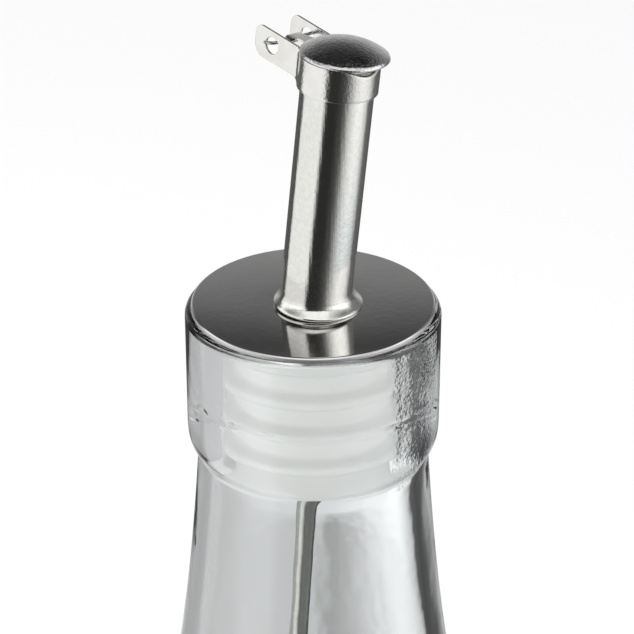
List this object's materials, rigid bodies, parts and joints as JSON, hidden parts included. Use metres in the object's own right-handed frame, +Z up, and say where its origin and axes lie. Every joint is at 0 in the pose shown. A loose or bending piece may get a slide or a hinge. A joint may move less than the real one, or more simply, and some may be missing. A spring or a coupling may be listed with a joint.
{
  "type": "oil cruet",
  "caption": "Clear glass oil bottle with a thick mouth ring, a ribbed soft stopper, a polished cover disc and a leaning steel spout under a hinged flip lid.",
  "frame": {"origin": "on the bottle's axis, at the foot ring that it stands on", "axes": "+Z up along the bottle's axis; the spout leans towards +X; +Y points away from the side that the picture shows"},
  "size_m": [0.074, 0.074, 0.2689],
  "materials": {
    "clear_glass": "clear, polished",
    "milky_silicone": "soft, milky, half clear",
    "mirror_steel": "mirror polished stainless steel",
    "satin_steel": "drawn and lightly polished stainless steel"
  },
  "bodies": {
    "root": {"bottle": "clear_glass", "stopper": "milky_silicone", "cover_disc": "mirror_steel", "spout": "satin_steel", "vent_tube": "satin_steel", "collar": "satin_steel", "hinge_pin": "satin_steel"},
    "lid": {"lid": "mirror_steel"}
  },
  "joints": [
    {"name": "lid_hinge", "type": "hinge", "parent": "root", "child": "lid", "pos_m": [-0.00292, 0.00604, 0.26627], "axis": [-0.6954, -0.7157, 0.0645], "range_deg": [0, 80]}
  ]
}
